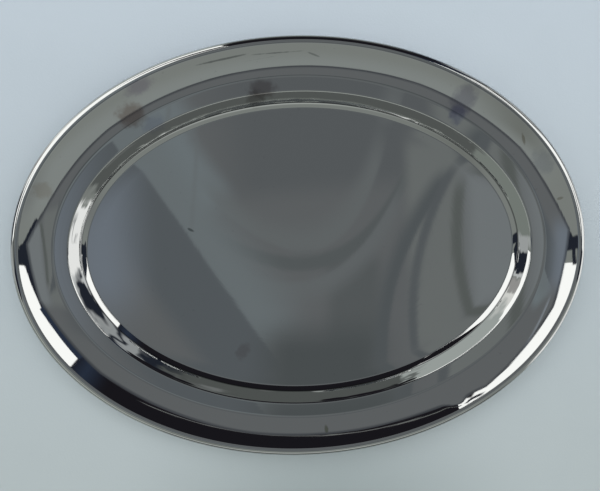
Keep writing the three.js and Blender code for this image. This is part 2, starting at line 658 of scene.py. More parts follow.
    def _surface(self, wires: Wiring, effects: Effects, position: Socket) -> Surface:
        """Lay the film, the scratches, the specks, the painted shade in the crease and the stains on the
        mirror.

        Args:
            wires: The material's wiring.
            effects: The shared node groups.
            position: The place on the piece.

        Returns:
            The colour, the roughness and the normal.
        """
        grain = wires.add("ShaderNodeAttribute", attribute_name=GRAIN).outputs["Vector"]
        run = wires.add("ShaderNodeAttribute", attribute_name=RUN).outputs["Fac"]
        well = wires.smooth(run, *self.well_fade, 1.0, 0.0)
        film = wires.place(
            effects.smudges, Position=position, Size=self.film_size, Cover=self.film_cover
        )
        scratch = wires.place(
            effects.scratches,
            Position=position,
            Spacing=self.scratch_spacing,
            Amount=self.scratch_amount,
        )
        specks = wires.smooth(wires.noise(position, self.speck_scale, detail=2.0), *self.speck_edge)
        film_share = wires.math("MULTIPLY", film, self.film_share)
        colour = wires.blend(film_share, self.colour, self.film_colour)
        colour = wires.blend(wires.math("MULTIPLY", specks, self.speck_share), colour, self.speck_colour)
        well_more = self.well_roughness - self.rim_roughness
        roughness = wires.math("MULTIPLY_ADD", well, well_more, self.rim_roughness)
        roughness = wires.math("MULTIPLY_ADD", film, self.film_dulling, roughness)
        roughness = wires.math("MULTIPLY_ADD", scratch, self.scratch_dulling, roughness)
        # Painted shade: a dark line along the crease between the two walls is blended into the steel's
        # colour.
        apart = wires.math("ABSOLUTE", wires.math("SUBTRACT", run, self.crease))
        crease_shade = wires.smooth(apart, *self.crease_shade_reach, self.crease_shade_share, 0.0)
        colour = wires.blend(crease_shade, colour, self.crease_shade_colour)
        for stain in self.stains:
            heading = math.radians(stain.heading)
            blotch = wires.place(
                effects.stain,
                Position=position,
                Grain=grain,
                Centre=stain.centre,
                Along=(math.cos(heading), math.sin(heading), 0.0),
                Half_length=stain.half_length,
                Half_width=stain.half_width,
            )
            colour = wires.blend(blotch, colour, stain.tint, mode="MULTIPLY")
            roughness = wires.math("MULTIPLY_ADD", blotch, self.stain_dulling, roughness)
        return colour, roughness, self._relief(wires, effects, grain, run)

    def _relief(self, wires: Wiring, effects: Effects, grain: Socket, run: Socket) -> Socket:
        """Build the fine relief of the face: lines, rings and the wall's streaks.

        Args:
            wires: The material's wiring.
            effects: The shared node groups.
            grain: The directions that the lines follow.
            run: Distance from the edge of the base.

        Returns:
            The normal's socket.
        """
        patch_scale, patch_edge, patch_floor = 16.0, (0.38, 0.56), 0.12
        lines = wires.place(effects.lines, Grain=grain, Stretch=self.line_stretch, Contrast=0.3)
        rings = wires.place(effects.lines, Grain=grain, Stretch=self.ring_stretch, Contrast=0.5)
        stretched = wires.vector("MULTIPLY", grain, self.streak_stretch).outputs[0]
        streaks = wires.noise(stretched, 1.0, detail=1.0)
        start, end = self.wall
        fade_in, fade_out = self.wall_fade
        inner = wires.smooth(run, start, start + fade_in)
        outer = wires.smooth(run, end - fade_out, end, 1.0, 0.0)
        patches = wires.noise(grain, patch_scale, detail=1.0)
        uneven = wires.smooth(patches, *patch_edge, patch_floor, 1.0)
        wall = wires.math("MULTIPLY", wires.math("MULTIPLY", inner, outer), uneven)
        normal = wires.relief(wires.math("MULTIPLY", wall, streaks), self.streak_depth)
        normal = wires.relief(rings, self.ring_depth, under=normal)
        return wires.relief(lines, self.line_depth, under=normal)


@dataclass(frozen=True)
class SatinSteel(Finish):
    """The duller, straight-polished underside of the sheet.

    Attributes:
        colour: The clean steel's colour.
        roughness: Its roughness between marks.
        film_size: Size of the smudges.
        film_cover: How much of the face the smudges cover.
        film_share: How strongly a smudge tints the steel.
        film_colour: The smudges' colour.
        film_dulling: What a smudge adds to the roughness.
        scratch_spacing: Distance between the hairline scratches.
        scratch_amount: How many of them show.
        scratch_dulling: What a scratch adds to the roughness.
        line_stretch: How the working lines run, across and along the sheet.
        line_dulling: What a line adds to the roughness.
        line_depth: The lines' depth, in metres.
    """

    NAME = "satin_steel"
    colour: Colour = (0.57, 0.575, 0.57)
    roughness: float = 0.17
    film_size: float = 60 * MM
    film_cover: float = 0.6
    film_share: float = 0.25
    film_colour: Colour = (0.49, 0.49, 0.48)
    film_dulling: float = 0.07
    scratch_spacing: float = 7 * MM
    scratch_amount: float = 0.55
    scratch_dulling: float = 0.15
    line_stretch: Colour = (1500.0, 14.0, 14.0)
    line_dulling: float = 0.05
    line_depth: float = 0.004 * MM

    def _surface(self, wires: Wiring, effects: Effects, position: Socket) -> Surface:
        """Lay the film, the scratches and the working lines on the steel.

        Args:
            wires: The material's wiring.
            effects: The shared node groups.
            position: The place on the piece.

        Returns:
            The colour, the roughness and the normal.
        """
        grain = wires.add("ShaderNodeAttribute", attribute_name=GRAIN).outputs["Vector"]
        film = wires.place(
            effects.smudges, Position=position, Size=self.film_size, Cover=self.film_cover
        )
        lines = wires.place(effects.lines, Grain=grain, Stretch=self.line_stretch, Contrast=0.25)
        hairs = wires.place(
            effects.scratches,
            Position=position,
            Spacing=self.scratch_spacing,
            Amount=self.scratch_amount,
        )
        film_share = wires.math("MULTIPLY", film, self.film_share)
        colour = wires.blend(film_share, self.colour, self.film_colour)
        roughness = wires.math("MULTIPLY_ADD", film, self.film_dulling, self.roughness)
        roughness = wires.math("MULTIPLY_ADD", hairs, self.scratch_dulling, roughness)
        roughness = wires.math("MULTIPLY_ADD", lines, self.line_dulling, roughness)
        return colour, roughness, wires.relief(lines, self.line_depth)


@dataclass(frozen=True)
class DrawnWireSteel(Finish):
    """The bright drawn finish of the wire in the curl.

    Attributes:
        colour: The clean wire's colour.
        roughness: Its roughness between lines.
        film_size: Size of the patches of old drawing grease.
        film_cover: How much of the wire they cover.
        film_share: How strongly they tint it.
        film_colour: Their colour.
        line_stretch: How the drawing lines run, across and along the wire.
        line_dulling: What a line adds to the roughness.
        line_depth: The lines' depth, in metres.
    """

    NAME = "drawn_wire_steel"
    colour: Colour = (0.50, 0.50, 0.49)
    roughness: float = 0.32
    film_size: float = 20 * MM
    film_cover: float = 0.55
    film_share: float = 0.4
    film_colour: Colour = (0.40, 0.385, 0.36)
    line_stretch: Colour = (9000.0, 9000.0, 60.0)
    line_dulling: float = 0.12
    line_depth: float = 0.006 * MM

    def _surface(self, wires: Wiring, effects: Effects, position: Socket) -> Surface:
        """Lay the drawing lines and the grease on the wire.

        Args:
            wires: The material's wiring.
            effects: The shared node groups.
            position: The place on the piece.

        Returns:
            The colour, the roughness and the normal.
        """
        grain = wires.add("ShaderNodeAttribute", attribute_name=GRAIN).outputs["Vector"]
        lines = wires.place(effects.lines, Grain=grain, Stretch=self.line_stretch, Contrast=0.2)
        film = wires.place(
            effects.smudges, Position=position, Size=self.film_size, Cover=self.film_cover
        )
        film_share = wires.math("MULTIPLY", film, self.film_share)
        colour = wires.blend(film_share, self.colour, self.film_colour)
        roughness = wires.math("MULTIPLY_ADD", lines, self.line_dulling, self.roughness)
        return colour, roughness, wires.relief(lines, self.line_depth)


@dataclass(frozen=True)
class TableCloth(Finish):
    """The pale matt table top under the tray.

    Attributes:
        near: Colour on the side of the tray that is nearer to the viewer, darker there as a painted
            falloff of light.
        far: Colour on the far side, lighter and bluer; the change from near to far is a painted falloff
            of light along with a change of tint.
        painted_shadow_tint: What the painted shadow beside the tray multiplies the colour by.
        reach: How far from the middle the change of colour spreads.
        painted_shadow_place: The middle of the painted shadow.
        painted_shadow_reach: How far the painted shadow reaches.
        cloud_size: Size of the cloudy patches in the colour.
        cloud_cover: How much of the table they cover.
        cloud_share: How strongly they show.
        cloud_colour: Their colour.
        fibre_scale: How fine the surface's grain is, per metre.
        fibre_depth: The grain's depth, in metres.
        fibre_strength: How strongly the grain shows.
        roughness: The surface's roughness.
    """

    NAME = "pale_table"
    METALLIC = 0.0
    near: Colour = (0.555, 0.62, 0.635)
    far: Colour = (0.64, 0.72, 0.80)
    painted_shadow_tint: Colour = (0.60, 0.63, 0.62)
    reach: float = 0.16
    painted_shadow_place: Colour = (0.01, -0.19, 0.0)
    painted_shadow_reach: float = 0.14
    cloud_size: float = 120 * MM
    cloud_cover: float = 0.6
    cloud_share: float = 0.07
    cloud_colour: Colour = (0.42, 0.49, 0.53)
    fibre_scale: float = 900.0
    fibre_depth: float = 0.2 * MM
    fibre_strength: float = 0.25
    roughness: float = 0.6

    def _surface(self, wires: Wiring, effects: Effects, position: Socket) -> Surface:
        """Paint a falloff of light on the table from near to far, and give it a fine grain.

        Args:
            wires: The material's wiring.
            effects: The shared node groups.
            position: The place on the piece.

        Returns:
            The colour, the roughness and the normal.
        """
        # Painted light: the table is painted darker towards the viewer and lighter away from it, a
        # painted falloff of light along with a change of tint.
        share = wires.smooth(wires.split(position)["Y"], -self.reach, self.reach)
        clouds = wires.place(
            effects.smudges, Position=position, Size=self.cloud_size, Cover=self.cloud_cover
        )
        fibres = wires.noise(position, self.fibre_scale, detail=3.0)
        colour = wires.blend(share, self.near, self.far)
        colour = wires.blend(wires.math("MULTIPLY", clouds, self.cloud_share), colour, self.cloud_colour)
        # Painted shadow: a soft dark patch on the table just in front of the tray is multiplied into its
        # colour.
        apart = wires.vector("DISTANCE", position, self.painted_shadow_place).outputs["Value"]
        painted_shadow = wires.smooth(apart, 0.0, self.painted_shadow_reach, 1.0, 0.0)
        colour = wires.blend(painted_shadow, colour, self.painted_shadow_tint, mode="MULTIPLY")
        relief = wires.relief(fibres, self.fibre_depth, strength=self.fibre_strength)
        return colour, self.roughness, relief


# ---------------------------------------------------------------------------
# The tray
# ---------------------------------------------------------------------------


@dataclass
class SectionPoint:
    """A point on the upper face of the sheet's cross-section.

    Attributes:
        out: Distance outwards from the edge of the flat base.
        up: Height over the table.
        slope: The face's slope there, from level.
        run: Distance along the face from the edge of the base.
    """

    out: float
    up: float
    slope: float
    run: float


class Stroke:
    """A cross-section drawn like a pen stroke, from a level start."""

    def __init__(self, up: float) -> None:
        """Start at the edge of the base.

        Args:
            up: The height of the start.
        """
        self.points = [SectionPoint(0.0, up, 0.0, 0.0)]

    def straight(self, length: float, steps: int) -> None:
        """Go straight on, with shorter steps near both ends.

        Args:
            length: How far to go.
            steps: The number of steps.
        """
        start = self.points[-1]
        for step in range(1, steps + 1):
            gone = length * (1 - math.cos(math.pi * step / steps)) / 2
            self.points.append(
                SectionPoint(
                    start.out + gone * math.cos(start.slope),
                    start.up + gone * math.sin(start.slope),
                    start.slope,
                    start.run + gone,
                )
            )

    def bend(self, radius: float, new_slope: float, steps: int, eased: bool = False) -> None:
        """Go round a bend, up for a larger slope and down for a smaller one.

        Args:
            radius: The bend's radius.
            new_slope: The slope at its end.
            steps: The number of steps.
            eased: Whether the steps are shorter near both ends.
        """
        start = self.points[-1]
        turn = new_slope - start.slope
        signed = math.copysign(radius, turn)
        for step in range(1, steps + 1):
            share = (1 - math.cos(math.pi * step / steps)) / 2 if eased else step / steps
            slope = start.slope + turn * share
            self.points.append(
                SectionPoint(
                    start.out + signed * (math.sin(slope) - math.sin(start.slope)),
                    start.up + signed * (math.cos(start.slope) - math.cos(slope)),
                    slope,
                    start.run + radius * abs(turn) * share,
                )
            )


@dataclass(frozen=True)
class SectionSteps:
    """How many steps each stretch of the section is drawn in.

    Attributes:
        base_edge: The bend at the edge of the base.
        lower_wall: The lower wall.
        wall_crease: The crease between the walls.
        upper_wall: The upper wall.
        shoulder: The bend into the flange.
        flange: The flange.
        rim_crease: The bend at the foot of the rim band.
        band: The rim band.
        crown: The bead's flatter top.
        curl: The curl round the wire.
    """

    base_edge: int = 6
    lower_wall: int = 6
    wall_crease: int = 6
    upper_wall: int = 10
    shoulder: int = 10
    flange: int = 7
    rim_crease: int = 8
    band: int = 13
    crown: int = 14
    curl: int = 24


@dataclass
class Unevenness:
    """The small faults of a pressed and polished sheet, as offsets along its normal.

    Attributes:
        swell: Height and length of the broad waves.
        ripple: Height and length of the finer waves.
        wrinkle: Height and length of the draw wrinkles on the well's wall.
        wrinkle_level: The level at which their pattern is read, so that they run up the wall.
        dent_centre: Middle of the dent in the rim.
        dent_size: Depth and radius of the dent.
        dent_reach: How many radii away the dent is taken to end.
    """

    swell: tuple[float, float] = (0.030 * MM, 60 * MM)
    ripple: tuple[float, float] = (0.004 * MM, 18 * MM)
    wrinkle: tuple[float, float] = (0.030 * MM, 6 * MM)
    wrinkle_level: float = 0.3
    dent_centre: Colour = (0.0805, -0.0866, 0.0134)
    dent_size: tuple[float, float] = (0.14 * MM, 4.5 * MM)
    dent_reach: float = 3.0

    def offset(self, point: Vector, wall: float) -> float:
        """Work out how far a point of the sheet is off its true shape.

        Args:
            point: The point's true place.
            wall: How much the point belongs to the upper wall, from 0 to 1.

        Returns:
            The offset along the sheet's normal.
        """
        total = 0.0
        for height, length in (self.swell, self.ripple):
            total += height * noise.noise(point / length)
        if wall > 0:
            height, length = self.wrinkle
            total += wall * height * noise.noise(Vector((point.x, point.y, self.wrinkle_level)) / length)
        depth, radius = self.dent_size
        apart = (point - Vector(self.dent_centre)).length / radius
        if apart < self.dent_reach:
            total -= depth * math.exp(-apart * apart)
        return total


@dataclass
class TraySheet:
    """The pressing: well, wall, flange, rim band and the bead curled round the edge.

    Attributes:
        low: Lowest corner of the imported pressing.
        high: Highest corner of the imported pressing.
        thickness: The sheet's thickness.
        curl_radius: Radius of the tight curl round the wire.
        curl_end_slope: The slope that the sheet's edge has reached inside the curl.
        crown_radius: Radius of the bead's flatter top.
        crown_end_slope: The slope at which the flatter top gives way to the curl.
        band_top_slope: Slope of the rim band's upper edge.
        band_foot_slope: Slope of the rim band's foot.
        band_radius: Radius that the band bends to between them.
        rim_crease_radius: Radius of the bend between the flange and the band.
        flange_slope: The flange's slope.
        flange_length: The flange's length across.
        shoulder_radius: Radius of the bend between the upper wall and the flange.
        upper_wall_slope: The upper wall's middle slope.
        upper_wall_turn: How far the upper wall's slope eases from its foot to its top.
        upper_wall_length: The upper wall's length across.
        wall_crease_radius: Radius of the bend between the two walls.
        lower_wall_slope: The lower wall's middle slope.
        lower_wall_turn: How far the lower wall's slope grows from its foot to its top.
        lower_wall_length: The lower wall's length across.
        base_edge_radius: Radius of the bend at the edge of the base.
        steps: How finely the section is drawn.
        columns: Points round the oval.
        base_rings: Rings between the middle and the edge of the base.
        faults: The sheet's unevenness.
    """

    low: Vector
    high: Vector
    thickness: float = 0.6 * MM
    curl_radius: float = 1.8 * MM
    curl_end_slope: float = math.radians(-262)
    crown_radius: float = 3.6 * MM
    crown_end_slope: float = math.radians(-35)
    band_top_slope: float = math.radians(26.7)
    band_foot_slope: float = math.radians(19.5)
    band_radius: float = 120 * MM
    rim_crease_radius: float = 6 * MM
    flange_slope: float = math.radians(3)
    flange_length: float = 6.1 * MM
    shoulder_radius: float = 1.4 * MM
    upper_wall_slope: float = math.radians(48)
    upper_wall_turn: float = math.radians(7)
    upper_wall_length: float = 6.7 * MM
    wall_crease_radius: float = 1.2 * MM
    lower_wall_slope: float = math.radians(30)
    lower_wall_turn: float = math.radians(5)
    lower_wall_length: float = 2.3 * MM
    base_edge_radius: float = 1.6 * MM
    steps: SectionSteps = SectionSteps()
    columns: int = 400
    base_rings: int = 17
    faults: Unevenness = field(default_factory=Unevenness)

    def __post_init__(self) -> None:
        """Draw the section and place the oval that it follows."""
        stroke = Stroke(self.thickness)
        steps = self.steps
        lower_radius = self.lower_wall_length / self.lower_wall_turn
        lower_start = self.lower_wall_slope - self.lower_wall_turn / 2
        lower_end = self.lower_wall_slope + self.lower_wall_turn / 2
        upper_radius = self.upper_wall_length / self.upper_wall_turn
        upper_start = self.upper_wall_slope + self.upper_wall_turn / 2
        upper_end = self.upper_wall_slope - self.upper_wall_turn / 2
        stroke.bend(self.base_edge_radius, lower_start, steps.base_edge)
        stroke.bend(lower_radius, lower_end, steps.lower_wall, eased=True)
        stroke.bend(self.wall_crease_radius, upper_start, steps.wall_crease)
        self.wall_start = stroke.points[-1].run
        stroke.bend(upper_radius, upper_end, steps.upper_wall, eased=True)
        self.wall_end = stroke.points[-1].run
        stroke.bend(self.shoulder_radius, self.flange_slope, steps.shoulder)
        stroke.straight(self.flange_length, steps.flange)
        stroke.bend(self.rim_crease_radius, self.band_foot_slope, steps.rim_crease)
        stroke.bend(self.band_radius, self.band_top_slope, steps.band, eased=True)
        stroke.bend(self.crown_radius, self.crown_end_slope, steps.crown)
        curl_start = stroke.points[-1]
        stroke.bend(self.curl_radius, self.curl_end_slope, steps.curl)
        self.section = stroke.points
        self.height = max(point.up for point in self.section)
        self.curl_up = curl_start.up - self.curl_radius * math.cos(curl_start.slope)
        curl_out = curl_start.out + self.curl_radius * math.sin(curl_start.slope)
        self.half_length = (self.high.x - self.low.x) / 2
        self.half_width = (self.high.y - self.low.y) / 2
        self.width = curl_out + self.curl_radius

    def outline(self, turn: float, inset: float) -> tuple[Vector, Vector]:
        """Find a point inside the oval outline, and the outward direction there.

        Args:
            turn: The point's turn round the tray.
            inset: Its distance inside the outline, square to it.

        Returns:
            The point and the unit outward normal, both level.
        """
        edge = Vector((self.half_length * math.cos(turn), self.half_width * math.sin(turn), 0.0))
        normal = Vector((math.cos(turn) / self.half_length, math.sin(turn) / self.half_width, 0.0))
        normal.normalize()
        return edge - normal * inset, normal

    def _wall_share(self, run: float) -> float:
        """Say how much a point on the section belongs to the upper wall."""
        share = (run - self.wall_start) / (self.wall_end - self.wall_start)
        return math.sin(math.pi * share) if 0 < share < 1 else 0.0

    def _ring(self, point: SectionPoint, share: float) -> tuple[list[Vector], list[Vector]]:
        """Build one ring of the upper face and the matching ring of the under face.

        Args:
            point: The section point that the ring goes through.
            share: The ring's size inside the base edge, or 1 outside it.

        Returns:
            The upper and the under ring.
        """
        upper = []
        under = []
        wall = self._wall_share(point.run)
        for column in range(self.columns):
            turn = 2 * math.pi * column / self.columns
            place, outward = self.outline(turn, self.width - point.out)
            place = place * share
            place.z = point.up
            normal = Vector((0, 0, math.cos(point.slope))) - outward * math.sin(point.slope)
            place = place + normal * self.faults.offset(place, wall)
            upper.append(place)
            under.append(place - normal * self.thickness)
        return upper, under

    def build(self, finish: Finish, under_finish: Finish, effects: Effects) -> bpy.types.Object:
        """Build and dress the sheet.

        Args:
            finish: The finish of the upper face.
            under_finish: The finish of the under face.
            effects: The shared node groups.

        Returns:
            The sheet's object.
        """
        start = self.section[0]
        rings = [(start, (index + 1) / self.base_rings) for index in range(self.base_rings)]
        rings += [(point, 1.0) for point in self.section[1:]]
        built = [self._ring(point, share) for point, share in rings]
        upper = [ring[0] for ring in built]
        under = [ring[1] for ring in built]
        rows = upper + under[::-1]
        vertices = [point for row in rows for point in row]
        poles = [Vector((0, 0, self.thickness)), Vector((0, 0, 0))]
        faces = grid_faces(len(rows), self.columns)
        last = len(vertices) - self.columns
        for column in range(self.columns):
            after = (column + 1) % self.columns
            faces.append((len(vertices), column, after))
            faces.append((len(vertices) + 1, last + after, last + column))
        piece = new_piece("tray_sheet", vertices + poles, faces)
        runs = [self._run(point, share) for point, share in rings]
        self._note_grain(piece, runs + runs[::-1])
        piece.data.materials.append(finish.build(effects))
        piece.data.materials.append(under_finish.build(effects))
        turned = len(upper) * self.columns
        for face in piece.data.polygons:
            highest = max(face.vertices)
            below = highest >= turned and highest != len(vertices)
            face.material_index = Side.UNDER.value if below else Side.UPPER.value
        return piece

    def _run(self, point: SectionPoint, share: float) -> float:
        """Measure how far a ring lies outside the edge of the base, along the sheet."""
        inside = (share - 1) * (self.half_width - self.width)
        return point.run + inside

    def _note_grain(self, piece: bpy.types.Object, runs: list[float]) -> None:
        """Store on the sheet the directions that its working lines follow.

        Args:
            piece: The sheet's object.
            runs: Each ring's distance from the edge of the base.
        """
        mesh = piece.data
        count = len(mesh.vertices)
        run = np.full(count, runs[0] - self.half_width)
        run[: len(runs) * self.columns] = np.repeat(runs, self.columns)
        place = np.empty(count * 3)
        mesh.vertices.foreach_get("co", place)
        grain = place.reshape(count, 3).copy()
        grain[:, 2] = grain[:, 1]
        grain[:, 1] = grain[:, 0]
        grain[:, 0] = run
        store_attribute(mesh, RUN, "FLOAT", "value", run)
        store_attribute(mesh, GRAIN, "FLOAT_VECTOR", "vector", grain.ravel())


@dataclass
class WireRing:
    """The drawn wire inside the curl, with a butt joint between its chamfered ends.

    Attributes:
        sheet: The sheet whose curl holds the wire.
        radius: The wire's radius.
        joint_gap: The gap between its ends.
        joint_turn: Where the joint lies round the tray.
        chamfer: The chamfer round each end.
        steps: Steps along the wire.
        sides: Points round the wire.
    """

    sheet: TraySheet
    radius: float = 0.9 * MM
    joint_gap: float = 0.8 * MM
    joint_turn: float = math.radians(-58)
    chamfer: float = 0.2 * MM
    steps: int = 300
    sides: int = 20

    def build(self, finish: DrawnWireSteel, effects: Effects) -> bpy.types.Object:
        """Build and dress the wire.

        Args:
            finish: The wire's finish.
            effects: The shared node groups.

        Returns:
            The wire's object.
        """
        joint = self.joint_gap / self.sheet.half_width
        turns = [
            self.joint_turn + joint / 2 + (2 * math.pi - joint) * step / self.steps
            for step in range(self.steps + 1)
        ]
        nudge = self.chamfer / self.sheet.half_width
        stations = [(turns[0], self.radius - self.chamfer), (turns[0] + nudge, self.radius)]
        stations += [(turn, self.radius) for turn in turns[1:-1]]
        stations += [(turns[-1] - nudge, self.radius), (turns[-1], self.radius - self.chamfer)]
        vertices = []
        grain = []
        for turn, radius in stations:
            middle, outward = self.sheet.outline(turn, self.sheet.curl_radius)
            for side in range(self.sides):
                angle = 2 * math.pi * side / self.sides
                spoke = outward * math.cos(angle) + Vector((0, 0, math.sin(angle)))
                vertices.append(middle + Vector((0, 0, self.sheet.curl_up)) + spoke * radius)
                along = turn * self.sheet.half_length
                grain.append((radius * math.cos(angle), radius * math.sin(angle), along))
        faces = grid_faces(len(stations), self.sides, outward=False)
        last = len(vertices) - self.sides
        faces.append(tuple(range(self.sides)))
        faces.append(tuple(last + side for side in reversed(range(self.sides))))
        piece = new_piece("wire_ring", vertices, faces)
        store_attribute(piece.data, GRAIN, "FLOAT_VECTOR", "vector", np.array(grain).ravel())
        piece.data.materials.append(finish.build(effects))
        return piece


def grid_faces(rows: int, columns: int, outward: bool = True) -> list[tuple[int, ...]]:
    """Join rows of points, each a closed ring, with four-sided faces.

    Args:
        rows: The number of rings.
        columns: The points in each ring.
        outward: Whether the faces turn outwards, where the rings follow each other outwards.

    Returns:
        The faces.
    """
    faces = []
    for row in range(rows - 1):
        for column in range(columns):
            after = (column + 1) % columns
            corners = (
                row * columns + column,
                (row + 1) * columns + column,
                (row + 1) * columns + after,
                row * columns + after,
            )
            faces.append(corners if outward else corners[::-1])
    return faces


def new_piece(
    name: str, vertices: Sequence[Vector], faces: Sequence[tuple[int, ...]]
) -> bpy.types.Object:
    """Make a smooth-shaded object from points and faces.

    Args:
        name: The object's name.
        vertices: Its points.
        faces: Its faces.

    Returns:
        The object, linked into the scene.
    """
    mesh = bpy.data.meshes.new(name)
    mesh.from_pydata([tuple(point) for point in vertices], [], faces)
    mesh.validate()
    mesh.shade_smooth()
    mesh.set_sharp_from_angle(angle=SHARP_ANGLE)
    piece = bpy.data.objects.new(name, mesh)
    bpy.context.scene.collection.objects.link(piece)
    return piece


def store_attribute(mesh: bpy.types.Mesh, name: str, kind: str, key: str, values: np.ndarray) -> None:
    """Store one value for each point of a mesh.

    Args:
        mesh: The mesh.
        name: The attribute's name.
        kind: Its data type in Blender.
        key: The name of its value.
        values: The values, in the points' order.
    """
    attribute = mesh.attributes.new(name, kind, "POINT")
    attribute.data.foreach_set(key, values.astype(np.float32))


# ---------------------------------------------------------------------------
# The studio
# ---------------------------------------------------------------------------


@dataclass(frozen=True)
class Panel:
    """An upright part of the surroundings, as the steel mirrors it.

    Attributes:
        light: What it sends out.
        heading: Direction of its middle in degrees, anticlockwise from +X.
        half_width: Half of its width in degrees.
        top: Angle of its upper edge from straight up, in degrees.
        bottom: Angle of its lower edge from straight up, in degrees.
        side_soft: Softness of its sides in degrees.
        top_soft: Softness of its upper edge in degrees.
        bottom_soft: Softness of its lower edge in degrees.
    """

    light: Colour
    heading: float
    half_width: float
    top: float
    bottom: float
    side_soft: float = 1.5
    top_soft: float = 1.0
    bottom_soft: float = 4.0


@dataclass(frozen=True)
class Bar:
    """A soft bar on the ceiling, in slopes from straight up.

    Attributes:
        light: Its radiance.
        start: One end of its middle line.
        end: The other end.
        half_width: Half the width over which it is at its strongest.
        left_soft: How far it fades out on the left, looking from start to end.
        right_soft: How far it fades out on the right.
        bow: How far its middle bows out to the left of the straight line.
        end_soft: How far it fades out past its ends.
        share: How strongly it covers what lies under it.
    """

    light: Colour
    start: tuple[float, float]
    end: tuple[float, float]
    half_width: float
    left_soft: float
    right_soft: float
    bow: float = 0.0
    end_soft: float = 0.05
    share: float = 1.0


@dataclass(frozen=True)
class CeilingEdge:
    """One straight edge of the dark ceiling, in slopes from straight up.

    Attributes:
        heading: The direction it faces, in degrees anticlockwise from +X.
        distance: How far it lies from the point overhead.
    """

    heading: float
    distance: float


@dataclass(frozen=True)
class Lamp:
    """A soft round lamp.

    Attributes:
        name: Its name.
        place: Where it hangs, facing the tray.
        size: Its diameter.
        share: Its power, as a share of the strongest lamp's.
    """

    name: str
    place: Colour
    size: float
    share: float


BLACK: Colour = (0.014, 0.013, 0.017)
NAVY: Colour = (0.032, 0.046, 0.078)
DARK: Colour = (0.022, 0.027, 0.040)
WHITE: Colour = (1.55, 1.55, 1.52)
PALE_WALL: Colour = (0.295, 0.315, 0.298)
CEILING: Colour = (0.174, 0.184, 0.191)


